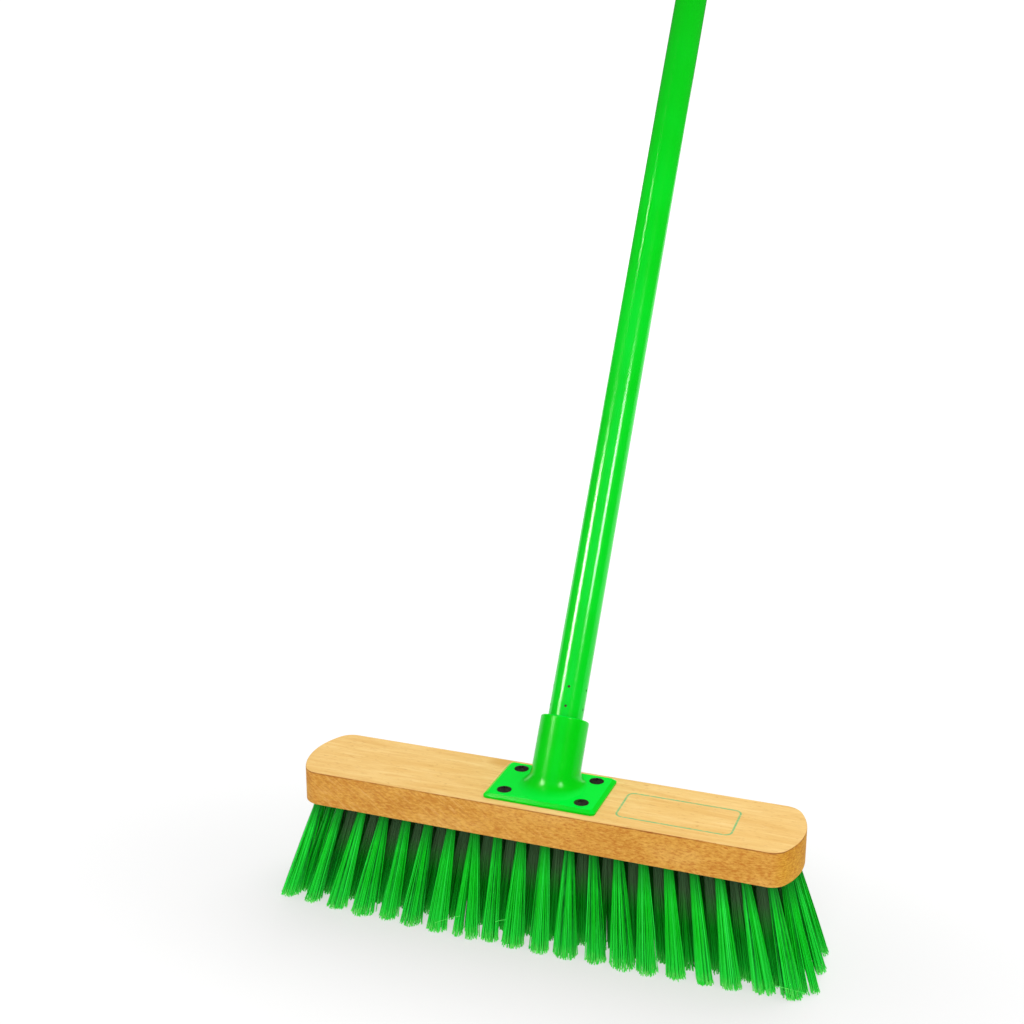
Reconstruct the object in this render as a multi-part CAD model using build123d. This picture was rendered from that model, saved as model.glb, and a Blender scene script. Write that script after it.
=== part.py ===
from build123d import *
import math
import os

# ---------------------------------------------------------------------------
# Push broom.  Millimetres and degrees.  +Z up, +X along the block, +Y back,
# towards the person who pushes it.  The origin lies on the floor under the
# bristle tips, at mid depth of the head, in the handle's upright plane.
# ---------------------------------------------------------------------------

# wooden block
BLOCK_L = 305.0          # overall length, over the bowed ends
BLOCK_W = 58.0
BLOCK_T = 21.3
BLOCK_X = -3.9           # the bracket sits a little off the block's middle
END_R = 48.0             # bow of each end
CORNER_R = 11.3          # rounding between an end and a long side
EDGE_R = 0.6             # broken edges

# tufts
TRIM = 62.7              # visible bristle height, floor to underside of block
ROW_Y = [-21.0, -10.5, 0.0, 10.5, 21.0]
ROW_N = [20, 20, 21, 21, 20]
ROW_SHIFT = [0.0, 5.25, -1.0, -1.0, 0.0]    # the inner rows stand between the outer ones
PITCH = 14.57
HOLE_R = 3.0
HOLE_DEPTH = 11.5        # measured along the hole
SHANK_R = 2.95
TIP_R = 6.6              # tuft radius where it is trimmed at the floor
SPLAY_ROW = [-12.5, -8.5, 0.0, 8.5, 12.5]   # lean of each row to front (-) or back (+)
SPLAY_FAN = 0.106        # degrees of lean along X for each mm off the middle
STAPLE_W = 6.3           # flat anchor wire, bites 0.15 mm into each side
STAPLE_H = 2.4
STAPLE_T = 0.5
STAPLE_IN = 3.4          # from the hole's end to the anchor's far edge

# bracket
PLATE_X = -1.1           # the plate's middle, a little off the socket's axis
PLATE_L = 68.1
PLATE_W = 47.0
PLATE_T = 2.8
PLATE_R = 2.8            # corner radius
BEVEL_IN = 2.1           # bevel around the plate's top: how far in
BEVEL_H = 1.6            # and how far down
PLATE_EDGE_R = 0.45
SCREW_X = -1.0
SCREW_DX = 47.2
SCREW_DY = 29.3
SCREW_HEAD_R = 4.35
SCREW_SHANK_R = 1.9
SCREW_IN_WOOD = 9.0
CSK_DEPTH = 2.1

# leaning socket, measured along its own axis from the block's top face
LEAN = 30.8              # from upright
SOCKET_Y = 1.1           # where the axis meets the block's top face
SOCKET_R = 14.5
SOCKET_RIM = 42.0
RIM_ROUND = 1.2
MOUTH_R = 10.35
MOUTH_FROM = 30.0
BORE_FROM = 9.0
THREAD_PITCH = 5.0
NUT_CREST_R = 8.4
NUT_ROOT_R = 9.65
GROOVE_START = 8.0

# handle, measured along the same axis
SHAFT_R = 10.4           # over the coating
NECK_R = 10.2            # where it enters the socket
COAT_T = 0.35
TUBE_R = 10.0
TUBE_WALL = 0.5
TUBE_FROM = 31.7
SHAFT_FROM = 42.6        # full-size coating starts just above the rim
TUBE_TO = 1175.0
TIP_FROM = 9.6
TIP_SHOULDER = 30.1
SHOULDER_R = 10.15
TIP_CORE_R = 8.1
TIP_CREST_R = 9.4
TIP_PLUG_TO = 68.0
PLUG_R = 9.45
PUNCH_S = [48.3, 59.9]   # two rings of punch marks that lock the tip
PUNCH_A0 = -79.3
PUNCH_N = 5
PUNCH_R = 0.8

# hanging cap
CAP_R = 10.1
CAP_TO = 1209.0
CAP_BLADE_T = 7.0
CAP_HOLE_R = 4.25
CAP_HOLE_S = 1197.0

BOTTOM_Z = TRIM
TOP_Z = TRIM + BLOCK_T
PLATE_Z = TOP_Z + PLATE_T
RAD = math.pi / 180.0
SIN, COS = math.sin(LEAN * RAD), math.cos(LEAN * RAD)

os.makedirs("parts", exist_ok=True)

AXIS = Plane(origin=(0, SOCKET_Y, TOP_Z), x_dir=(1, 0, 0), z_dir=(0, SIN, COS))


def save(node, shape):
    export_step(shape, "parts/" + node + ".step")


def one(shape):
    """The single solid of a boolean result."""
    s = shape.solids()
    return s[0] if len(s) == 1 else max(s, key=lambda q: q.volume)


def cyl(r, s0, s1):
    """Cylinder about local Z from s0 to s1."""
    return Pos(0, 0, (s0 + s1) / 2) * Cylinder(r, s1 - s0)


def on_axis(shape):
    return AXIS.location * shape


# ---------------------------------------------------------------------------
# tuft layout: root point on the block's underside and a downward direction
# ---------------------------------------------------------------------------
def row_layout(i):
    out = []
    n = ROW_N[i]
    ay = SPLAY_ROW[i]
    for k in range(n):
        x = (k - (n - 1) / 2) * PITCH + ROW_SHIFT[i]
        ax = SPLAY_FAN * x
        d = Vector(math.tan(ax * RAD), math.tan(ay * RAD), -1.0).normalized()
        out.append((Vector(BLOCK_X + x, ROW_Y[i], BOTTOM_Z), d))
    return out


def tuft_plane(p, d):
    """Local Z runs down the tuft, local X lies as nearly along the row as it can."""
    z = Vector(d)
    x = (Vector(1, 0, 0) - z * z.X).normalized()
    return Plane(origin=p, x_dir=x, z_dir=z)


# ---------------------------------------------------------------------------
# block
# ---------------------------------------------------------------------------
def block_outline():
    h = BLOCK_W / 2
    xc = BLOCK_L / 2 - END_R
    # centre of the corner arc: tangent to the side and inside the end bow
    yc = h - CORNER_R
    xr = xc + math.sqrt((END_R - CORNER_R) ** 2 - yc ** 2)
    k = END_R / (END_R - CORNER_R)
    px, py = xc + (xr - xc) * k, yc * k          # corner arc meets the end bow
    ma = (math.atan2(py - yc, px - xr) + math.pi / 2) / 2
    mx, my = xr + CORNER_R * math.cos(ma), yc + CORNER_R * math.sin(ma)
    e = BLOCK_L / 2
    edges = [
        Line((-xr, h), (xr, h)),
        ThreePointArc((xr, h), (mx, my), (px, py)),
        ThreePointArc((px, py), (e, 0), (px, -py)),
        ThreePointArc((px, -py), (mx, -my), (xr, -h)),
        Line((xr, -h), (-xr, -h)),
        ThreePointArc((-xr, -h), (-mx, -my), (-px, -py)),
        ThreePointArc((-px, -py), (-e, 0), (-px, py)),
        ThreePointArc((-px, py), (-mx, my), (-xr, h)),
    ]
    return make_face(edges)


block = extrude(Pos(BLOCK_X, 0, BOTTOM_Z) * block_outline(), BLOCK_T)
block = fillet(
    block.edges().filter_by(lambda e: abs(e.center().Z - TOP_Z) < 1e-3 or abs(e.center().Z - BOTTOM_Z) < 1e-3),
    EDGE_R,
)
drill = []
for i in range(5):
    for p, d in row_layout(i):
        pl = tuft_plane(p, d)
        drill.append(pl.location * cyl(HOLE_R, -HOLE_DEPTH, 3.0))
for sx in (-1, 1):
    for sy in (-1, 1):
        drill.append(
            Pos(SCREW_X + sx * SCREW_DX / 2, sy * SCREW_DY / 2, TOP_Z - (SCREW_IN_WOOD + 0.3) / 2)
            * Cylinder(SCREW_SHANK_R + 0.03, SCREW_IN_WOOD + 0.3)
        )
block = one(block - drill)
save("block", block)

# ---------------------------------------------------------------------------
# tufts and their anchors
# ---------------------------------------------------------------------------
FLARE_FROM = 1.3
FLARE = (TIP_R - SHANK_R) / (TRIM - FLARE_FROM)
LONG = TRIM + 14.0
prof = make_face(
    [
        Line((0, -HOLE_DEPTH + 0.1), (SHANK_R - 0.5, -HOLE_DEPTH + 0.1)),
        Line((SHANK_R - 0.5, -HOLE_DEPTH + 0.1), (SHANK_R, -HOLE_DEPTH + 0.8)),
        Line((SHANK_R, -HOLE_DEPTH + 0.8), (SHANK_R, FLARE_FROM)),
        Line((SHANK_R, FLARE_FROM), (SHANK_R + FLARE * (LONG - FLARE_FROM), LONG)),
        Line((SHANK_R + FLARE * (LONG - FLARE_FROM), LONG), (0, LONG)),
        Line((0, LONG), (0, -HOLE_DEPTH + 0.1)),
    ]
)
tuft_blank = revolve(Plane.XZ * prof, Axis.Z)
z_st = -HOLE_DEPTH + STAPLE_IN + STAPLE_H / 2
tuft_blank = tuft_blank - Pos(0, 0, z_st) * Box(8, STAPLE_T + 0.06, STAPLE_H + 0.06)
floor_cut = Pos(BLOCK_X, 0, -20) * Box(BLOCK_L + 120, 260, 40)
for i in range(5):
    tufts, staples = [], []
    for p, d in row_layout(i):
        loc = tuft_plane(p, d).location
        tufts.append(one((loc * tuft_blank) - floor_cut))
        staples.append(loc * (Pos(0, 0, z_st) * Box(STAPLE_W, STAPLE_T, STAPLE_H)))
    save("tufts_row_%d" % (i + 1), Compound(children=tufts))
    save("staples_row_%d" % (i + 1), Compound(children=staples))

# ---------------------------------------------------------------------------
# socket bracket
# ---------------------------------------------------------------------------
foot = extrude(Pos(PLATE_X, 0, TOP_Z) * RectangleRounded(PLATE_L, PLATE_W, PLATE_R), PLATE_T - BEVEL_H)
bevel = loft(
    [
        Pos(PLATE_X, 0, PLATE_Z - BEVEL_H) * RectangleRounded(PLATE_L, PLATE_W, PLATE_R),
        Pos(PLATE_X, 0, PLATE_Z)
        * RectangleRounded(PLATE_L - 2 * BEVEL_IN, PLATE_W - 2 * BEVEL_IN, PLATE_R - 0.45 * BEVEL_IN),
    ],
    ruled=True,
)
bevel = fillet(bevel.edges().filter_by(lambda e: abs(e.center().Z - PLATE_Z) < 1e-3), PLATE_EDGE_R)
plate = foot + bevel

barrel = cyl(SOCKET_R, -12.0, SOCKET_RIM)
barrel = fillet(barrel.edges().sort_by(Axis.Z)[-1:], RIM_ROUND)
barrel = on_axis(barrel) - Pos(0, 0, TOP_Z - 30) * Box(120, 120, 60)

# flare: level ellipses that grow towards the plate, at the front and the sides
TAN = SIN / COS
FLARE_H = 8.0
FLARE_SIDE, FLARE_FRONT, FLARE_BACK = 6.3, 7.0, 2.5
sections = []
for j in range(9):
    t = j / 8.0
    z = PLATE_Z - 0.6 + (FLARE_H + 0.6) * t
    q = max(0.0, min(1.0, (z - PLATE_Z) / FLARE_H))
    off = 1.0 - math.sqrt(max(0.0, 1.0 - (1.0 - q) ** 2))
    side = FLARE_SIDE * off + 0.02
    front = FLARE_FRONT * off + 0.02
    back = FLARE_BACK * off + 0.02
    yc = SOCKET_Y + (z - TOP_Z) * TAN
    b = SOCKET_R / COS
    y0, y1 = yc - b - front, yc + b + back
    sections.append(Plane(origin=(0, (y0 + y1) / 2, z)) * Ellipse(SOCKET_R + side, (y1 - y0) / 2))
skirt = loft(sections)
bracket = plate + barrel + skirt

# inside of the socket: thread bore and smooth mouth
bore = cyl(NUT_ROOT_R, BORE_FROM, MOUTH_FROM + 1) + cyl(MOUTH_R, MOUTH_FROM, SOCKET_RIM + 5)
mouth_lead = Pos(0, 0, SOCKET_RIM - 0.35) * Cone(MOUTH_R, MOUTH_R + 0.7, 0.7)
bore = bore + mouth_lead


def ridge(r_in, r_out, half_in, half_out, start, height):
    """Helical ridge of trapezoid section about local Z, right-handed."""
    h = Pos(0, 0, start) * Helix(THREAD_PITCH, height, r_in)
    sec = make_face(
        Polyline(
            (r_in, 0, start - half_in),
            (r_out, 0, start - half_out),
            (r_out, 0, start + half_out),
            (r_in, 0, start + half_in),
            close=True,
        )
    )
    return sweep(sec, path=h, is_frenet=True)


# the nut's crest stands half a pitch from the middle of its groove
nut_ridge = ridge(NUT_CREST_R, NUT_ROOT_R + 0.3, 0.91, 1.58, GROOVE_START + THREAD_PITCH / 2, 17.5)
bracket = bracket - on_axis(bore)
bracket = one(bracket + on_axis(nut_ridge))
screw_cut = []
for sx in (-1, 1):
    for sy in (-1, 1):
        x, y = SCREW_X + sx * SCREW_DX / 2, sy * SCREW_DY / 2
        screw_cut.append(Pos(x, y, PLATE_Z - PLATE_T / 2) * Cylinder(SCREW_SHANK_R + 0.35, PLATE_T + 2))
        screw_cut.append(
            Pos(x, y, PLATE_Z - CSK_DEPTH / 2)
            * Cone(SCREW_SHANK_R + 0.35, SCREW_HEAD_R + 0.08, CSK_DEPTH)
        )
bracket = one(bracket - screw_cut)
save("socket_bracket", bracket)

# ---------------------------------------------------------------------------
# screws: raised countersunk heads with a cross recess
# ---------------------------------------------------------------------------
hp = make_face(
    [
        Line((0, -PLATE_T - SCREW_IN_WOOD), (SCREW_SHANK_R, -PLATE_T - SCREW_IN_WOOD + 3.0)),
        Line((SCREW_SHANK_R, -PLATE_T - SCREW_IN_WOOD + 3.0), (SCREW_SHANK_R, -CSK_DEPTH + 0.05)),
        Line((SCREW_SHANK_R, -CSK_DEPTH + 0.05), (SCREW_HEAD_R, 0.0)),
        ThreePointArc((SCREW_HEAD_R, 0.0), (SCREW_HEAD_R * 0.55, 0.78), (0, 1.1)),
        Line((0, 1.1), (0, -PLATE_T - SCREW_IN_WOOD)),
    ]
)
screw = revolve(Plane.XZ * hp, Axis.Z)
cross = Pos(0, 0, 0.7) * (Box(4.2, 0.75, 1.6) + Box(0.75, 4.2, 1.6)) + Pos(0, 0, 0.2) * Cone(0.35, 0.9, 1.6)
screw = one(screw - cross)
screws = []
turns = {(-1, -1): 20.0, (-1, 1): 67.0, (1, -1): 41.0, (1, 1): 5.0}
for sx in (-1, 1):
    for sy in (-1, 1):
        screws.append(
            Pos(SCREW_X + sx * SCREW_DX / 2, sy * SCREW_DY / 2, PLATE_Z + 0.03) * Rot(0, 0, turns[(sx, sy)]) * screw
        )
save("bracket_screws", Compound(children=screws))

# ---------------------------------------------------------------------------
# handle
# ---------------------------------------------------------------------------
tube = cyl(TUBE_R, TUBE_FROM, TUBE_TO) - cyl(TUBE_R - TUBE_WALL, TUBE_FROM - 1, TUBE_TO + 1)
save("steel_tube", one(on_axis(tube)))

sleeve = (
    cyl(NECK_R, TUBE_FROM, SHAFT_FROM + 0.5)
    + cyl(SHAFT_R, SHAFT_FROM, TUBE_TO)
    - cyl(SHAFT_R - COAT_T, TUBE_FROM - 1, TUBE_TO + 1)
)
marks = []
for s in PUNCH_S:
    for k in range(PUNCH_N):
        a = PUNCH_A0 + 360.0 / PUNCH_N * k
        marks.append(Rot(0, 0, a) * (Pos(SHAFT_R, 0, s) * (Rot(0, 90, 0) * Cylinder(PUNCH_R, 2.0))))
sleeve = one(sleeve - marks)
save("handle_sleeve", one(on_axis(sleeve)))

# threaded tip: core, right-hand thread, shoulder and the plug inside the tube
tip = (
    cyl(TIP_CORE_R, TIP_FROM, TIP_SHOULDER)
    + cyl(SHOULDER_R, TIP_SHOULDER, TUBE_FROM - 0.05)
    + cyl(PLUG_R, TIP_SHOULDER, TIP_PLUG_TO)
)
tip = chamfer(tip.edges().sort_by(Axis.Z)[:1], 1.0)
tip = chamfer(tip.edges().sort_by(Axis.Z)[-1:], 0.8)
# blind core-out from the tube side
tip = tip - cyl(6.6, 14.0, TIP_PLUG_TO + 1)
tip = tip + ridge(TIP_CORE_R - 0.3, TIP_CREST_R, 1.6, 0.85, GROOVE_START + THREAD_PITCH, 14.5)
tip = one(tip)
save("threaded_tip", one(on_axis(tip)))

# hanging cap: plug in the tube's end, round collar, blade with a hole along X
cap = cyl(PLUG_R, TUBE_TO - 24.0, TUBE_TO + 2) + cyl(CAP_R, TUBE_TO + 0.05, CAP_TO)
cap = cap - Pos(0, 0, (TUBE_TO + 6.0 + CAP_TO) / 2 + 5) * (
    Pos(CAP_BLADE_T / 2 + 10, 0, 0) * Box(20, 40, CAP_TO - TUBE_TO + 4)
    + Pos(-CAP_BLADE_T / 2 - 10, 0, 0) * Box(20, 40, CAP_TO - TUBE_TO + 4)
)
# round top seen along X
top_r = CAP_R
trim = Pos(0, 0, CAP_TO - top_r / 2 + 5) * Box(40, 60, top_r + 10) - Pos(0, 0, CAP_TO - top_r) * (
    Rot(0, 90, 0) * Cylinder(top_r, 60)
)
trim = trim & (Pos(0, 0, CAP_TO + 10) * Box(60, 80, 20 + 2 * top_r))
cap = cap - trim
cap = cap - Pos(0, 0, CAP_HOLE_S) * (Rot(0, 90, 0) * Cylinder(CAP_HOLE_R, 40))
cap = cap - cyl(6.8, TUBE_TO - 30.0, TUBE_TO - 2.0)
save("end_cap", one(on_axis(cap)))
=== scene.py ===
import math

import bpy
import numpy as np
from mathutils import Matrix, Vector


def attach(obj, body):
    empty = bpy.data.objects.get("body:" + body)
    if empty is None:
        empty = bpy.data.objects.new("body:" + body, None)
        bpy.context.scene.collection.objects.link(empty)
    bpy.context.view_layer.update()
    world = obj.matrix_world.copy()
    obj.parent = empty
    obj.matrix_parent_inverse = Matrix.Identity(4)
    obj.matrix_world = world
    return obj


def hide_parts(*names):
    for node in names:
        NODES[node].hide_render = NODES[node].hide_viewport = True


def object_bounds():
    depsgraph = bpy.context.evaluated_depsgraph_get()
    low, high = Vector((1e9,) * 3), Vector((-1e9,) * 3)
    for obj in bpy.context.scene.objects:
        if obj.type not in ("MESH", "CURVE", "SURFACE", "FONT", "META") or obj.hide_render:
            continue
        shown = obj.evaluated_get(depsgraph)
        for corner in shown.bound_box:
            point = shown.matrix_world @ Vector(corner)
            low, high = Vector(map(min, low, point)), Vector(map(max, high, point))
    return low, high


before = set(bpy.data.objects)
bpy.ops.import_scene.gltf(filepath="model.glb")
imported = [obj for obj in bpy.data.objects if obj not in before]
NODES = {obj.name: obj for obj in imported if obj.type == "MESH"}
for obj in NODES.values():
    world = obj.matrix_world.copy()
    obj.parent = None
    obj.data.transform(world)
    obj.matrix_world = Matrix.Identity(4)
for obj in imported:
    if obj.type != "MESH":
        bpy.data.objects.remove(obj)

CAD_BOX = [list(map(float, p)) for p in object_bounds()]
MM = 0.001

# --------------------------------------------------------------------------
# Camera
# --------------------------------------------------------------------------
R = ((0.936121548, 0.351673279, 0.001533515),
     (0.097773776, -0.256071081, -0.96170052),
     (-0.337811686, 0.900418517, -0.274098081))
CAM = Vector((259.809 - 3.9, -750.188, 395.4005 + 84.0)) * MM
FOCAL = 1481.906

cam_data = bpy.data.cameras.new("camera")
cam_data.sensor_fit = "HORIZONTAL"
cam_data.sensor_width = 36.0
cam_data.lens = FOCAL / 1024.0 * 36.0
cam_data.clip_start = 0.01
cam_data.clip_end = 60.0
cam = bpy.data.objects.new("camera", cam_data)
rot = Matrix((R[0], [-c for c in R[1]], [-c for c in R[2]])).transposed()
cam.matrix_world = Matrix.Translation(CAM) @ rot.to_4x4()
bpy.context.scene.collection.objects.link(cam)
bpy.context.scene.camera = cam


# --------------------------------------------------------------------------
# Node material helpers
# --------------------------------------------------------------------------
class Mat:
    def __init__(self, name):
        self.m = bpy.data.materials.new(name)
        self.m.use_nodes = True
        self.t = self.m.node_tree
        self.t.nodes.clear()
        self.out = self.t.nodes.new("ShaderNodeOutputMaterial")
        self.b = self.t.nodes.new("ShaderNodeBsdfPrincipled")
        self.t.links.new(self.b.outputs[0], self.out.inputs[0])
        self._tc = None

    def n(self, kind, **props):
        node = self.t.nodes.new("ShaderNode" + kind)
        for k, v in props.items():
            setattr(node, k, v)
        return node

    def put(self, socket, value):
        if hasattr(value, "is_output") or hasattr(value, "links") and not isinstance(value, (int, float, tuple, list)):
            self.t.links.new(value, socket)
        else:
            socket.default_value = value

    def set(self, name, value):
        self.put(self.b.inputs[name], value)

    def coords(self):
        if self._tc is None:
            self._tc = self.n("TexCoord")
        return self._tc.outputs["Object"]

    def mapping(self, scale, rot=(0, 0, 0), loc=(0, 0, 0), vec=None):
        mp = self.n("Mapping")
        self.t.links.new(vec or self.coords(), mp.inputs["Vector"])
        mp.inputs["Scale"].default_value = scale
        mp.inputs["Rotation"].default_value = rot
        mp.inputs["Location"].default_value = loc
        return mp.outputs[0]

    def noise(self, vec, scale=1.0, detail=3.0, rough=0.55, distort=0.0):
        nz = self.n("TexNoise")
        self.t.links.new(vec, nz.inputs["Vector"])
        nz.inputs["Scale"].default_value = scale
        nz.inputs["Detail"].default_value = detail
        nz.inputs["Roughness"].default_value = rough
        nz.inputs["Distortion"].default_value = distort
        return nz.outputs["Fac"]

    def math(self, op, a, b=0.0, c=0.0, clamp=False):
        k = self.n("Math", operation=op, use_clamp=clamp)
        for i, v in enumerate((a, b, c)):
            self.put(k.inputs[i], v)
        return k.outputs[0]

    def ramp(self, fac, stops, interp="LINEAR"):
        r = self.n("ValToRGB")
        r.color_ramp.interpolation = interp
        el = r.color_ramp.elements
        while len(el) < len(stops):
            el.new(0.5)
        for e, (p, c) in zip(el, stops):
            e.position = p
            e.color = (c, c, c, 1) if isinstance(c, (int, float)) else (*c, 1)
        self.put(r.inputs[0], fac)
        return r.outputs[0]

    def mix(self, fac, a, b, mode="MIX"):
        k = self.n("Mix", data_type="RGBA", blend_type=mode)
        self.put(k.inputs[0], fac)
        for i, v in ((6, a), (7, b)):
            self.put(k.inputs[i], (*v, 1) if isinstance(v, tuple) and len(v) == 3 else v)
        return k.outputs[2]

    def sep(self, vec=None):
        s = self.n("SeparateXYZ")
        self.t.links.new(vec or self.coords(), s.inputs[0])
        return s.outputs

    def bump(self, height, distance=0.001, strength=0.5, normal=None):
        b = self.n("Bump")
        b.inputs["Strength"].default_value = strength
        b.inputs["Distance"].default_value = distance
        self.t.links.new(height, b.inputs["Height"])
        if normal is not None:
            self.t.links.new(normal, b.inputs["Normal"])
        return b.outputs[0]


def lin(r, g, b):
    def f(c):
        c /= 255.0
        return c / 12.92 if c <= 0.04045 else ((c + 0.055) / 1.055) ** 2.4
    return (f(r), f(g), f(b))


def assign(obj, mat):
    obj.data.materials.clear()
    obj.data.materials.append(mat)


def smooth(obj, angle=35.0):
    me = obj.data
    me.shade_smooth()
    try:
        me.set_sharp_from_angle(angle=math.radians(angle))
    except Exception:
        pass


# --------------------------------------------------------------------------
# Wood
# --------------------------------------------------------------------------
def wood_material():
    m = Mat("beech")
    xyz = m.sep()
    geo = m.n("NewGeometry")
    nz = m.sep(geo.outputs["Normal"])[2]
    side = m.ramp(m.math("ABSOLUTE", nz), [(0.45, 1.0), (0.85, 0.0)])
    # grain runs along X and drifts slowly across the board
    warp = m.noise(m.mapping((5, 18, 18)), 1.0, 2.0)
    wv = m.n("VectorMath", operation="MULTIPLY_ADD")
    cmb = m.n("CombineXYZ")
    m.put(cmb.inputs[1], warp)
    m.put(cmb.inputs[2], warp)
    m.put(wv.inputs[0], cmb.outputs[0])
    wv.inputs[1].default_value = (0, 0.012, 0.012)
    m.put(wv.inputs[2], m.coords())
    grain = m.noise(m.mapping((22, 240, 240), vec=wv.outputs[0]), 1.0, 4.0, 0.60)
    fine = m.noise(m.mapping((90, 760, 760), vec=wv.outputs[0]), 1.0, 4.0, 0.62)
    cloud = m.noise(m.mapping((9, 26, 26)), 1.0, 3.0)
    fleck = m.noise(m.mapping((250, 1000, 1000), vec=wv.outputs[0]), 1.0, 2.0, 0.5)
    top = m.ramp(grain, [(0.30, lin(234, 186, 110)), (0.47, lin(240, 196, 122)), (0.62, lin(245, 205, 133)), (0.75, lin(248, 212, 146))])
    top = m.mix(m.ramp(cloud, [(0.45, 0.0), (0.65, 0.30)]), top, lin(238, 188, 104))
    top = m.mix(m.math("MULTIPLY", m.ramp(fine, [(0.52, 0.0), (0.70, 1.0)]), 0.24), top, lin(214, 156, 84))
    top = m.mix(m.math("MULTIPLY", m.ramp(fine, [(0.30, 1.0), (0.45, 0.0)]), 0.20), top, lin(254, 228, 172))
    top = m.mix(m.math("MULTIPLY", m.ramp(fleck, [(0.62, 0.0), (0.72, 1.0)]), 0.40), top, lin(196, 132, 66))
    # sawn edges: warmer, and darker than the top, the darkness partly painted shade for the light from above; short
    # dark and light flecks, slanted saw marks towards one end
    broad = m.noise(m.mapping((26, 26, 60)), 1.0, 3.0, 0.5)
    edge = m.ramp(broad, [(0.36, lin(213, 150, 62)), (0.50, lin(221, 160, 70)), (0.64, lin(228, 171, 84))])
    sl = m.mapping((1, 1, 1), rot=(0, math.radians(-36), 0))
    saw = m.noise(m.mapping((95, 95, 760), vec=sl), 1.0, 4.0, 0.62)
    dash = m.noise(m.mapping((400, 430, 1200), rot=(0, math.radians(-8), 0)), 1.0, 3.0, 0.6)
    dash2 = m.noise(m.mapping((520, 520, 1400), rot=(0, math.radians(22), 0), loc=(3.1, 1.7, 0.4)), 1.0, 3.0, 0.6)
    left = m.ramp(m.math("ADD", m.math("MULTIPLY", xyz[0], 5.0), m.math("MULTIPLY", broad, 0.6)), [(-0.0, 1.0), (0.55, 0.0)])
    edge = m.mix(m.math("MULTIPLY", m.math("MULTIPLY", m.ramp(saw, [(0.50, 0.0), (0.64, 1.0)]), left), 0.42), edge, lin(184, 112, 58))
    edge = m.mix(m.math("MULTIPLY", m.math("MULTIPLY", m.ramp(saw, [(0.34, 1.0), (0.47, 0.0)]), left), 0.44), edge, lin(240, 190, 116))
    edge = m.mix(m.math("MULTIPLY", m.ramp(dash, [(0.52, 0.0), (0.63, 1.0)]), m.math("SUBTRACT", 0.50, m.math("MULTIPLY", left, 0.20))), edge, lin(190, 98, 32))
    edge = m.mix(m.math("MULTIPLY", m.ramp(dash2, [(0.55, 0.0), (0.65, 1.0)]), m.math("SUBTRACT", 0.42, m.math("MULTIPLY", left, 0.18))), edge, lin(184, 88, 34))
    edge = m.mix(m.math("MULTIPLY", m.ramp(dash, [(0.35, 1.0), (0.48, 0.0)]), 0.52), edge, lin(244, 190, 94))
    # the far end is yellower, and a little brighter: the brightening is painted light for the light that end face gets
    nx = m.sep(geo.outputs["Normal"])[0]
    edge = m.mix(m.ramp(nx, [(0.25, 0.0), (0.85, 1.0)]), edge, m.mix(1.0, edge, (1.02, 1.03, 0.62), "MULTIPLY"))
    col = m.mix(side, top, edge)
    # thin burnt line where the cutter left the top edge
    z = xyz[2]
    rag = m.noise(m.mapping((300, 300, 80)), 1.0, 3.0)
    gap = m.noise(m.mapping((60, 60, 60), loc=(0.3, 0, 0)), 1.0, 2.0)
    dist = m.math("ADD", m.math("SUBTRACT", 0.0840, z), m.math("MULTIPLY", m.math("SUBTRACT", rag, 0.5), 0.0016))
    line = m.ramp(m.math("MULTIPLY", dist, 400.0), [(0.0, 1.0), (0.22, 0.9), (0.46, 0.0)])
    line = m.math("MULTIPLY", m.math("MULTIPLY", line, side), m.ramp(gap, [(0.36, 0.25), (0.58, 0.85)]))
    col = m.mix(line, col, lin(150, 84, 40))
    # empty ink border on the top face
    bx0, bx1, by0, by1 = 43.6 * MM, 110.1 * MM, -18.0 * MM, 12.6 * MM
    cx, cy, hx, hy = (bx0 + bx1) / 2, (by0 + by1) / 2, (bx1 - bx0) / 2, (by1 - by0) / 2
    qx = m.math("SUBTRACT", m.math("ABSOLUTE", m.math("SUBTRACT", xyz[0], cx)), hx)
    qy = m.math("SUBTRACT", m.math("ABSOLUTE", m.math("SUBTRACT", xyz[1], cy)), hy)
    box = m.math("MINIMUM", m.math("ADD", m.math("MAXIMUM", qx, qy), 0.004), 0.0)
    rx = m.math("MAXIMUM", m.math("ADD", qx, 0.004), 0.0)
    ry = m.math("MAXIMUM", m.math("ADD", qy, 0.004), 0.0)
    corner = m.math("SQRT", m.math("ADD", m.math("MULTIPLY", rx, rx), m.math("MULTIPLY", ry, ry)))
    sd = m.math("ABSOLUTE", m.math("SUBTRACT", m.math("ADD", box, corner), 0.004))
    ink = m.ramp(m.math("MULTIPLY", sd, 1000.0), [(0.34, 1.0), (0.78, 0.0)])
    worn = m.ramp(m.noise(m.mapping((420, 700, 700)), 1.0, 3.0), [(0.30, 0.45), (0.52, 1.0)])
    up = m.ramp(nz, [(0.9, 0.0), (0.98, 1.0)])
    ink = m.math("MULTIPLY", m.math("MULTIPLY", ink, worn), m.math("MULTIPLY", up, 0.86))
    col = m.mix(ink, col, lin(92, 190, 128))
    m.set("Base Color", col)
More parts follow.
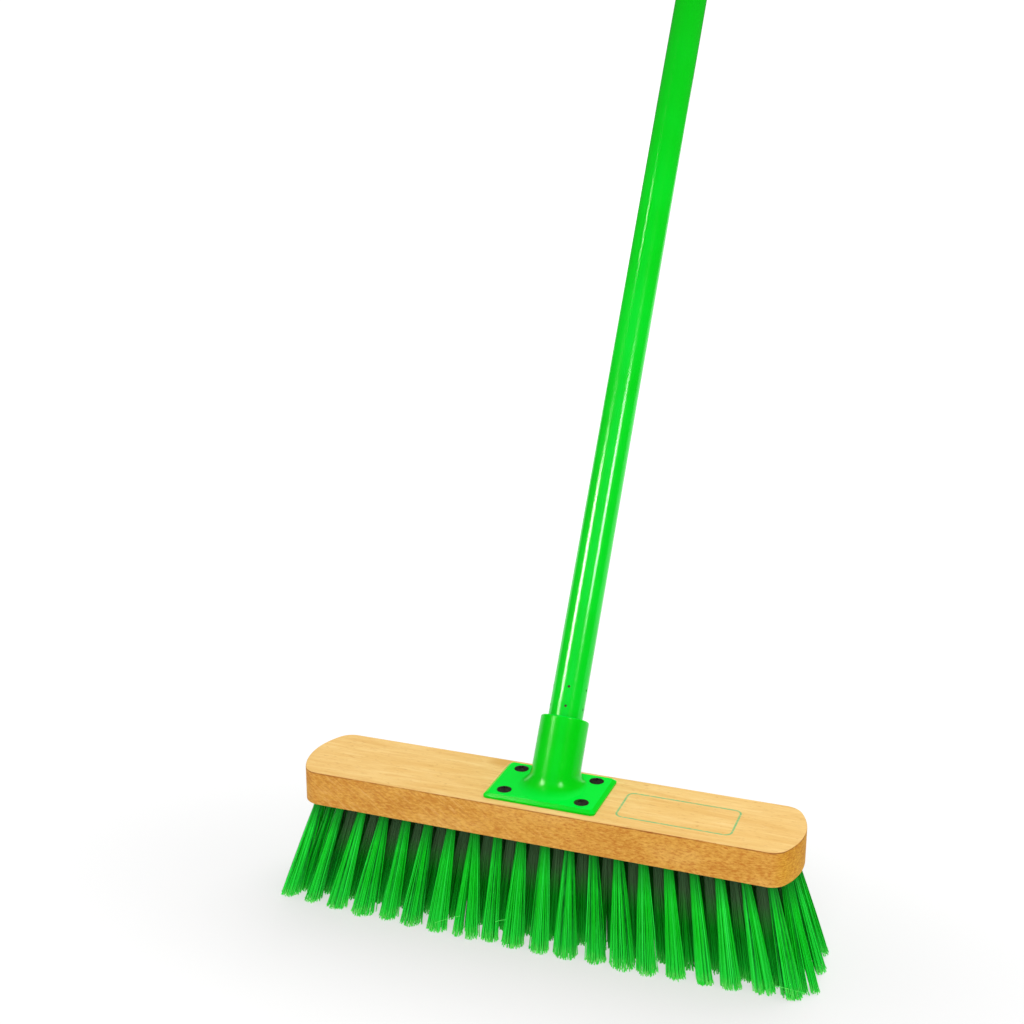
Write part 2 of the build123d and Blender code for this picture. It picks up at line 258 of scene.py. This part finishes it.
    # painted shadow: a soft darker patch beside the plate, the socket's shadow on the wood top
    px = m.math("MULTIPLY", m.math("SUBTRACT", xyz[0], -0.0405), 95.0)
    py = m.math("MULTIPLY", m.math("SUBTRACT", xyz[1], 0.0235), 150.0)
    rr = m.math("ADD", m.math("MULTIPLY", px, px), m.math("MULTIPLY", py, py))
    socket_shadow_paint = m.math("MULTIPLY", m.ramp(rr, [(0.10, 1.0), (1.0, 0.0)]), m.math("MULTIPLY", up, 0.42))
    col = m.mix(socket_shadow_paint, col, lin(205, 142, 48))
    m.set("Base Color", col)
    m.set("Roughness", m.ramp(grain, [(0.3, 0.55), (0.7, 0.68)]))
    m.set("Specular IOR Level", 0.06)
    m.set("Specular Tint", (0.2, 1.0, 0.8, 1.0))
    hgt = m.math("ADD", m.math("MULTIPLY", fine, 0.7), m.math("MULTIPLY", grain, 0.3))
    hs = m.math("ADD", m.math("MULTIPLY", saw, m.math("MULTIPLY", left, 0.9)), m.math("MULTIPLY", dash, 0.8))
    hmix = m.n("Mix", data_type="FLOAT")
    m.put(hmix.inputs[0], side)
    m.put(hmix.inputs[2], hgt)
    m.put(hmix.inputs[3], hs)
    m.set("Normal", m.bump(hmix.outputs[0], 0.00022, 0.7))
    return m.m


# --------------------------------------------------------------------------
# Green plastics
# --------------------------------------------------------------------------
TINT = (0.14, 1.0, 0.60, 1.0)


def plastic(name, base, dark, rough=0.16, spec=0.5, wave=90.0, wavy=0.00006, blotch=45.0, tint=TINT, up=None, high=None):
    """Moulded or shrunk-on plastic: slow colour drift, faint ripples, fine scuffs in the gloss."""
    m = Mat(name)
    drift = m.noise(m.mapping((blotch, blotch, blotch)), 1.0, 3.0, 0.5)
    scuff = m.noise(m.mapping((420, 900, 260)), 1.0, 4.0, 0.6)
    col = m.ramp(drift, [(0.35, dark), (0.65, base)])
    col = m.mix(m.math("MULTIPLY", m.ramp(scuff, [(0.60, 0.0), (0.76, 1.0)]), 0.18), col, dark)
    if up is not None:
        # painted sheen: flat upward faces turn to the brighter, bluer up colour, standing in for the reflection of the
        # overhead light
        nz = m.sep(m.n("NewGeometry").outputs["Normal"])[2]
        col = m.mix(m.ramp(nz, [(0.74, 0.0), (0.97, 1.0)]), col, up)
    # painted shade: higher up (z 0.40 m to 0.56 m) the colour turns to the darker high tone, for the light falling off
    # up the handle
    if high is not None:
        z = m.sep()[2]
        col = m.mix(m.ramp(z, [(0.40, 0.0), (0.56, 1.0)]), col, high)
    m.set("Base Color", col)
    m.set("Roughness", m.ramp(scuff, [(0.32, rough * 0.85), (0.72, rough * 1.3)]))
    m.set("Specular IOR Level", spec)
    m.set("Specular Tint", tint)
    ripple = m.noise(m.mapping((wave, wave, wave * 0.45)), 1.0, 2.0, 0.45)
    m.set("Normal", m.bump(ripple, wavy, 1.0, m.bump(scuff, 0.000006, 0.6)))
    return m.m


def screw_material():
    m = Mat("screw_black")
    a = m.noise(m.mapping((700, 700, 700)), 1.0, 4.0, 0.6)
    b = m.noise(m.mapping((3200, 3200, 3200)), 1.0, 2.0, 0.5)
    m.set("Base Color", m.ramp(a, [(0.35, lin(26, 22, 18)), (0.60, lin(44, 36, 28)), (0.78, lin(78, 62, 44))]))
    m.set("Roughness", m.ramp(b, [(0.3, 0.42), (0.7, 0.62)]))
    m.set("Metallic", 0.0)
    m.set("Specular IOR Level", 0.35)
    m.set("Specular Tint", (0.2, 1.0, 0.8, 1.0))
    m.set("Normal", m.bump(b, 0.00003, 0.6))
    return m.m


def steel_material(name, base, rough=0.3):
    m = Mat(name)
    a = m.noise(m.mapping((200, 3000, 3000)), 1.0, 3.0, 0.6)
    m.set("Base Color", m.ramp(a, [(0.3, tuple(c * 0.7 for c in base)), (0.7, base)]))
    m.set("Metallic", 1.0)
    m.set("Roughness", m.ramp(a, [(0.3, rough * 0.8), (0.7, rough * 1.4)]))
    m.set("Normal", m.bump(a, 0.00001, 0.5))
    return m.m


# --------------------------------------------------------------------------
# Bristles
# --------------------------------------------------------------------------
def bristle_material(name, dark, mid, light, tip, root, fade, low):
    """Filament colour: one random tone each, paler at the flagged end, darker where it leaves the block as painted
    shade.
    Tufts that stand inside the head get more painted shade: grey-green at the root and duller all the way down."""
    m = Mat(name)
    a = m.n("Attribute", attribute_name="tone")
    l = m.n("Attribute", attribute_name="along").outputs["Fac"]
    deep_shade = m.n("Attribute", attribute_name="deep_shade").outputs["Fac"]
    tone = m.ramp(a.outputs["Fac"], [(0.0, dark), (0.12, dark), (0.36, mid), (0.64, mid), (0.94, light)])
    streak = m.noise(m.mapping((700, 700, 40)), 1.0, 2.0, 0.5)
    tone = m.mix(m.math("MULTIPLY", m.ramp(streak, [(0.45, 0.0), (0.7, 1.0)]), 0.25), tone, light)
    # painted shade: tufts inside the head turn towards the darker low tone all the way down
    tone = m.mix(m.math("MULTIPLY", deep_shade, 0.62), tone, low)
    blot = m.noise(m.mapping((60, 60, 25)), 1.0, 2.0, 0.5)
    reach = m.math("ADD", l, m.math("MULTIPLY", m.math("SUBTRACT", blot, 0.5), 0.16))
    # painted shade: every filament turns darker near the block, with a ragged reach
    tone = m.mix(m.ramp(reach, [(0.0, 0.9), (0.10, 0.66), (0.32, 0.0)]), tone, lin(16, 112, 24))
    # painted shade: tufts inside the head turn grey-green near the root
    tone = m.mix(m.math("MULTIPLY", m.ramp(reach, fade), deep_shade), tone, root)
    tone = m.mix(m.ramp(l, [(0.62, 0.0), (0.95, 0.55)]), tone, light)
    wear = m.noise(m.mapping((600, 600, 220)), 1.0, 3.0, 0.6)
    pale = m.math("MULTIPLY", m.ramp(l, [(0.87, 0.0), (0.95, 0.36), (1.0, 0.92)]),
                  m.ramp(wear, [(0.46, 0.10), (0.60, 1.0)]))
    col = m.mix(pale, tone, tip)
    m.set("Base Color", col)
    m.set("Roughness", m.ramp(wear, [(0.3, 0.34), (0.7, 0.46)]))
    m.set("Specular IOR Level", 0.30)
    m.set("Specular Tint", (0.14, 1.0, 0.60, 1.0))
    m.set("Normal", m.bump(streak, 0.00002, 0.4))
    return m.m


TRIM, SPLAY_FAN, PITCH = 62.7, 0.106, 14.57
SPLAY_ROW = (-12.5, -8.5, 0.0, 8.5, 12.5)
ROW_Y = (-21.0, -10.5, 0.0, 10.5, 21.0)
ROW_N = (20, 20, 21, 21, 20)
ROW_SHIFT = (0.0, 5.25, -1.0, -1.0, 0.0)
BLOCK_X = -3.9
ROOT_R, TIP_R = 2.2, 6.2
FIL_R = 0.37
N_FIL = 96
# front row, tuft by tuft: tip's shift along X and Y, tip radius, split of the tip into two lobes
FRONT = ((-1.6, 4.5, 6.4, 0), (-1.6, 2.6, 5.9, 0), (-0.5, 0.4, 6.1, 0), (1.2, -1.0, 7.4, 0), (1.4, 0.6, 6.0, 0),
         (0.4, -0.8, 6.9, 0), (1.2, -1.2, 6.6, 0), (3.8, -1.4, 7.2, 2.2), (3.0, -1.3, 4.7, 0), (0.6, -1.4, 6.5, 0.5),
         (1.0, -1.4, 6.2, 0), (0.6, -1.3, 7.0, 0.5), (2.3, -0.4, 5.9, 0), (2.1, -0.2, 7.6, 0.7), (0.5, -1.0, 5.9, 0),
         (0.6, 0.4, 5.4, 0), (0.8, 0.8, 5.1, 0), (-1.0, 1.8, 5.9, 0), (0.8, 4.2, 6.0, 0.4), (0.0, 4.5, 5.8, 0))
BOX_LO = [c * 1000.0 for c in CAD_BOX[0]]
BOX_HI = [c * 1000.0 for c in CAD_BOX[1]]


def disc_points(rng, n):
    """n points spread evenly over the unit disc, jittered."""
    i = np.arange(n) + 0.5
    r = np.sqrt(i / n)
    th = i * 2.399963 + rng.uniform(0, 6.28)
    p = np.c_[r * np.cos(th), r * np.sin(th)]
    return p + rng.normal(0, 0.03, p.shape)


def tubes(paths, radii, sides, tones, alongs, deep_shade):
    """paths (n, k, 3), radii (n, k): closed tubes with flat ends. Returns verts, quads, caps and point attributes."""
    n, k, _ = paths.shape
    d = np.gradient(paths, axis=1)
    d /= np.linalg.norm(d, axis=2, keepdims=True)
    ref = np.zeros_like(d)
    ref[..., 0] = 1.0
    ref[..., 2] = 0.25
    u = np.cross(d, ref)
    u /= np.linalg.norm(u, axis=2, keepdims=True)
    v = np.cross(d, u)
    a = np.arange(sides) / sides * 2 * np.pi
    ring = (np.cos(a)[None, None, :, None] * u[:, :, None, :] + np.sin(a)[None, None, :, None] * v[:, :, None, :])
    verts = paths[:, :, None, :] + ring * radii[:, :, None, None]
    base = (np.arange(n) * k * sides)[:, None, None]
    rr = (np.arange(k - 1) * sides)[None, :, None]
    s = np.arange(sides)[None, None, :]
    s2 = (s + 1) % sides
    q = np.stack([base + rr + s, base + rr + s2, base + rr + sides + s2, base + rr + sides + s], axis=-1).reshape(-1, 4)
    cap0 = (np.arange(n) * k * sides)[:, None] + np.arange(sides)[None, ::-1]
    cap1 = (np.arange(n) * k * sides + (k - 1) * sides)[:, None] + np.arange(sides)[None, :]
    tone = np.repeat(tones, k * sides)
    along = np.repeat(alongs[:, :, None], sides, axis=2).reshape(-1)
    return verts.reshape(-1, 3), q, np.r_[cap0, cap1], tone, along, np.repeat(deep_shade, k * sides)


def build_mesh(name, chunks):
    vs, loops, starts, tone, along, deep_shade = [], [], [], [], [], []
    off = nl = 0
    for v, q, c, t, a, dp in chunks:
        vs.append(v)
        tone.append(t)
        along.append(a)
        deep_shade.append(dp)
        for f in (q, c):
            loops.append((f + off).reshape(-1))
            starts.append(nl + np.arange(len(f)) * f.shape[1])
            nl += f.size
        off += len(v)
    vs, loops, starts = np.concatenate(vs), np.concatenate(loops), np.concatenate(starts)
    me = bpy.data.meshes.new(name)
    me.vertices.add(len(vs))
    me.vertices.foreach_set("co", vs.astype(np.float32).reshape(-1))
    me.loops.add(len(loops))
    me.loops.foreach_set("vertex_index", loops.astype(np.int32))
    me.polygons.add(len(starts))
    me.polygons.foreach_set("loop_start", starts.astype(np.int32))
    me.update(calc_edges=True)
    me.validate()
    for nm, data in (("tone", np.concatenate(tone)), ("along", np.concatenate(along)), ("deep_shade", np.concatenate(deep_shade))):
        at = me.attributes.new(nm, "FLOAT", "POINT")
        at.data.foreach_set("value", data.astype(np.float32))
    me.shade_smooth()
    me.set_sharp_from_angle(angle=math.radians(80))
    return me


HEIGHTS = np.array([-4.0, 3.0, 18.0, 36.0, 53.0, TRIM])


def tuft(rng, px, py, tx, ty, tip_r, split, early=False):
    """Filament centre lines of one tuft, in mm: (n, k, 3), and how far along each point is. tx, ty: the tip's centre on the floor."""
    d = np.array([(tx - px) / TRIM, (ty - py) / TRIM, -1.0])
    ex = np.array([1.0, 0, 0])
    ey = np.array([0, 1.0, 0])
    p = disc_points(rng, N_FIL)
    n = len(p)
    sa = rng.uniform(-0.5, 0.5)
    sv = np.array([math.cos(sa), math.sin(sa)])
    side = np.where(p @ sv > rng.uniform(-0.25, 0.25), 1.0, -1.0)[:, None]
    # slightly uneven outline of the trimmed end
    ang = np.arctan2(p[:, 1], p[:, 0])
    lump = 1.0 + 0.07 * np.sin(2 * ang + rng.uniform(0, 6.28)) + 0.05 * np.sin(3 * ang + rng.uniform(0, 6.28))
    tip = p * tip_r * 0.97 * lump[:, None]
    tip[:, 1] *= min(1.0, 6.4 / tip_r)
    tip = tip + side * sv * split * 0.8 + rng.normal(0, 0.24, p.shape)
    root = p * ROOT_R
    f = HEIGHTS / TRIM
    g = np.clip(f, 0, None) ** (0.78 if early else rng.uniform(0.96, 1.04))
    cut = np.abs(rng.normal(0, 0.22, n)) + np.where(rng.random(n) < 0.03, rng.uniform(0.6, 3, n), 0)
    hh = np.repeat(HEIGHTS[None, :], n, 0)
    hh[:, -1] -= cut
    bow = rng.normal(0, 0.16, (n, 2))
    wob = rng.normal(0, 0.03, (n, len(f), 2))
    wob[:, :2] = 0
    off = root[:, None, :] + (tip - root)[:, None, :] * g[None, :, None]
    off += bow[:, None, :] * np.sin(np.pi * np.clip(f, 0, 1))[None, :, None] + wob
    pts = np.array([px, py, TRIM])[None, None, :] + hh[:, :, None] * d[None, None, :]
    pts = pts + off[..., :1] * ex + off[..., 1:] * ey
    return pts, np.repeat(np.clip(f, 0, 1)[None, :], n, 0)


# loose filaments that lie across the front of the row: ends in mm
STRAYS = (((-59.3, -40.0, 5.6), (-43.0, -39.0, 13.3)), ((-20.4, -40.0, 14.9), (-14.0, -39.5, 17.3)), ((142.0, -36.0, 8.0), (158.0, -31.0, 4.0)))


def row_mesh(i, seed):
    rng = np.random.default_rng(seed)
    n = ROW_N[i]
    bodies, al, tn, dp = [], [], [], []
    for k in range(n):
        x = (k - (n - 1) / 2) * PITCH + ROW_SHIFT[i]
        px, py = BLOCK_X + x, ROW_Y[i]
        tx = px + math.tan(math.radians(SPLAY_FAN * x)) * TRIM
        ty = py + math.tan(math.radians(SPLAY_ROW[i])) * TRIM
        if i == 0:
            dx, dy, r, sp = FRONT[k]
        else:
            dx, dy = rng.normal(0, 0.8, 2)
            r = TIP_R * rng.uniform(1.0, 1.10)
            sp = 1.2 if rng.random() < 0.2 else 0.0
        p, a = tuft(rng, px, py, tx + dx, ty + dy, r, sp, k == 0 and i == 0)
        bodies.append(p)
        al.append(a)
        tn.append(np.clip(rng.normal(0.5, 0.26, len(p)) + rng.normal(0, 0.05), 0, 1))
        # tufts inside the head, away from the outer rows and the row ends, are flagged for painted shade
        inside = 1.0 if i in (1, 2, 3) and 0 < k < n - 1 else 0.0
        dp.append(np.full(len(p), inside))
    paths, along, tones, deep_shade = (np.concatenate(c) for c in (bodies, al, tn, dp))
    m = len(paths)
    rad = np.full(paths.shape[:2], FIL_R) * rng.uniform(0.86, 1.12, (m, 1))
    rad[:, -1] *= 0.85
    # nothing below the floor or outside the part's own box
    paths[..., 2] = np.maximum(paths[..., 2], 0.12)
    for c in (0, 1):
        paths[..., c] = np.clip(paths[..., c], BOX_LO[c] + 0.45, BOX_HI[c] - 0.45)
    # the body of each filament stops short of its flagged end
    body = paths.copy()
    end = paths[:, -1] + (paths[:, -2] - paths[:, -1]) * 0.17
    body[:, -1] = end
    al2 = along.copy()
    al2[:, -1] = 1.0 - 0.155 * 0.17
    chunks = [tubes(body * MM, rad * MM, 5, tones, al2, deep_shade)]
    # flagged ends: three finer hairs out of each filament
    for h in range(3):
        a = rng.uniform(0, 2 * np.pi, m)
        sp = rng.uniform(0.05, 0.50, m)
        start = end + (paths[:, -2] - paths[:, -1]) * 0.05
        tip = paths[:, -1].copy()
        tip[:, 0] += np.cos(a) * sp
        tip[:, 1] += np.sin(a) * sp
        tip[:, 2] = np.maximum(tip[:, 2] + rng.uniform(0, 0.7, m), 0.08)
        for c in (0, 1):
            tip[:, c] = np.clip(tip[:, c], BOX_LO[c] + 0.25, BOX_HI[c] - 0.25)
        mid = (start + tip) / 2
        hp = np.stack([start, mid, tip], axis=1)
        hr = np.stack([np.full(m, 0.33), np.full(m, 0.31), np.full(m, 0.25)], axis=1)
        ha = np.repeat(np.array([[0.955, 0.98, 1.0]]), m, 0)
        chunks.append(tubes(hp * MM, hr * MM, 3, np.clip(tones + rng.normal(0, 0.10, m), 0, 1), ha, deep_shade))
    if i == 0:
        for a, b in STRAYS:
            a, b = np.array(a), np.array(b)
            f = np.linspace(0, 1, 6)[:, None]
            path = a + (b - a) * f
            path[:, 1:2] -= 0.35 * np.sin(np.pi * f)
            path[:, 2:3] += 0.5 * np.sin(np.pi * f)
            chunks.append(tubes(path[None] * MM, np.full((1, 6), 0.16) * MM, 5, np.array([1.0]), np.full((1, 6), 0.97), np.zeros(1)))
    return build_mesh("bristles_row_%d" % (i + 1), chunks)


# --------------------------------------------------------------------------
# Build
# --------------------------------------------------------------------------
mats = {
    "block": wood_material(),
    # up: painted sheen of the overhead light on the bracket's upward faces
    "socket_bracket": plastic("bracket_plastic", lin(6, 222, 20), lin(5, 214, 14), 0.20, 0.22, 45, 0.00003, up=lin(2, 238, 58)),
    # high: painted shade, the handle darker higher up
    "handle_sleeve": plastic("handle_coating", lin(5, 226, 34), lin(5, 217, 22), 0.17, 0.5, 110, 0.00005, 25, high=lin(12, 190, 14)),
    "threaded_tip": plastic("tip_plastic", lin(26, 30, 26), lin(18, 21, 18), 0.35, 0.4),
    "end_cap": plastic("cap_plastic", lin(7, 212, 20), lin(6, 204, 16), 0.26, 0.4),
    "bracket_screws": screw_material(),
    "steel_tube": steel_material("tube_steel", (0.045, 0.045, 0.048), 0.45),
}
wire = steel_material("anchor_wire", (0.60, 0.60, 0.58), 0.25)
for i in range(1, 6):
    mats["staples_row_%d" % i] = wire
for name, mt in mats.items():
    assign(NODES[name], mt)

front = bristle_material("bristle_front", lin(4, 92, 10), lin(14, 212, 24), lin(48, 252, 80), lin(158, 252, 136),
                         lin(78, 106, 72), [(0.0, 1.0), (0.30, 0.9), (0.60, 0.0)], lin(9, 128, 18))
# rows 2 to 4 take a duller copy of the same filament colour: painted shade for the rows inside the head
shaded_inner = bristle_material("bristle_inner", lin(8, 122, 14), lin(14, 210, 24), lin(32, 236, 64), lin(128, 240, 116),
                         lin(78, 106, 72), [(0.0, 1.0), (0.28, 0.94), (0.58, 0.0)], lin(10, 122, 18))
for i in range(5):
    me = row_mesh(i, 100 + i)
    ob = bpy.data.objects.new("bristles_row_%d" % (i + 1), me)
    bpy.context.scene.collection.objects.link(ob)
    me.materials.append(front if i in (0, 4) else shaded_inner)
    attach(ob, "head")
    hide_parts("tufts_row_%d" % (i + 1))

# --------------------------------------------------------------------------
# Floor, background and lights
# --------------------------------------------------------------------------
fm = Mat("floor_white")
fm.set("Base Color", fm.ramp(fm.noise(fm.mapping((1.5, 1.5, 1.5)), 1.0, 2.0), [(0.3, (0.34, 0.34, 0.34)), (0.7, (0.35, 0.35, 0.35))]))
fm.set("Roughness", 0.9)
fm.set("Specular IOR Level", 0.0)
fm.set("Emission Color", (1, 1, 1, 1))
# the floor glows, and the glow is weakest around the head: a painted soft shadow near the broom, rising to plain white
# far away
far = fm.n("VectorMath", operation="LENGTH")
fm.put(far.inputs[0], fm.mapping((0.5, 1, 1)))
fm.set("Emission Strength", fm.ramp(fm.math("MULTIPLY", far.outputs["Value"], 0.25),
                                    [(0.0, 0.555), (0.022, 0.575), (0.042, 0.655), (0.11, 0.78), (0.30, 1.0), (1.0, 1.1)]))
bpy.ops.mesh.primitive_plane_add(size=60, location=(0, 0, 0))
floor = bpy.context.object
floor.name = "floor"
floor.data.materials.append(fm.m)

world = bpy.data.worlds.new("studio")
bpy.context.scene.world = world
world.use_nodes = True
wt = world.node_tree
wt.nodes.clear()
wo = wt.nodes.new("ShaderNodeOutputWorld")
lp = wt.nodes.new("ShaderNodeLightPath")


def backdrop(v):
    b = wt.nodes.new("ShaderNodeBackground")
    b.inputs[0].default_value = (1, 1, 1, 1)
    b.inputs[1].default_value = v
    return b.outputs[0]


def switch(fac, a, b):
    k = wt.nodes.new("ShaderNodeMixShader")
    wt.links.new(fac, k.inputs[0])
    wt.links.new(a, k.inputs[1])
    wt.links.new(b, k.inputs[2])
    return k.outputs[0]


WORLD = 0.47
sky = switch(lp.outputs["Is Glossy Ray"], backdrop(WORLD), backdrop(0.10))
wt.links.new(switch(lp.outputs["Is Camera Ray"], sky, backdrop(1.10)), wo.inputs[0])


GEL = (1.0, 0.17, 0.24)      # warms the sheen so that it reads as white on the green plastic


def area(name, loc, target, size, radiance, size_y=None, gloss=False, along=None, color=(1, 1, 1)):
    """An area light of a given radiance. gloss: a reflector panel that shows only as a sheen."""
    d = bpy.data.lights.new(name, "AREA")
    d.shape = "RECTANGLE"
    d.size = size
    d.size_y = size_y or size
    d.energy = radiance * math.pi * d.size * d.size_y
    d.color = color
    o = bpy.data.objects.new(name, d)
    bpy.context.scene.collection.objects.link(o)
    z = (Vector(loc) - Vector(target)).normalized()
    if along is None:
        o.rotation_euler = (Vector(target) - Vector(loc)).to_track_quat("-Z", "Y").to_euler()
        o.location = loc
    else:
        y = Vector(along) - z * Vector(along).dot(z)
        y.normalize()
        o.matrix_world = Matrix.Translation(loc) @ Matrix((y.cross(z), y, z)).transposed().to_4x4()
    o.visible_glossy = gloss
    o.visible_diffuse = not gloss
    o.visible_transmission = False
    o.visible_camera = False
    return o


area("key", (0.40, -1.75, 1.55), (0, 0, 0.05), 1.3, 3.3)
area("top", (0.30, 1.05, 2.1), (0, 0, 0.05), 2.0, 2.6)
area("sheen_left", (-0.601, -0.515, 0.748), (0, 0.06, 0.18), 0.25, 190.0, 0.30, True, (-0.023, 0.30, 0.35), GEL)
area("sheen_right", (0.655, -0.405, 0.820), (0, 0.11, 0.25), 0.19, 160.0, 0.27, True, (-0.052, 0.125, 0.217), GEL)
area("sheen_front", (0.10, -1.5, 1.25), (0, 0.1, 0.25), 1.9, 0.5, 1.9, True)
area("glint", (-0.40, -0.256, 1.096), (-0.035, -0.0235, 0.087), 0.05, 260.0, 0.05, True, None, GEL)

sc = bpy.context.scene
sc.view_settings.view_transform = "Standard"
sc.view_settings.look = "None"
sc.view_settings.exposure = 0.0
sc.view_settings.gamma = 1.0
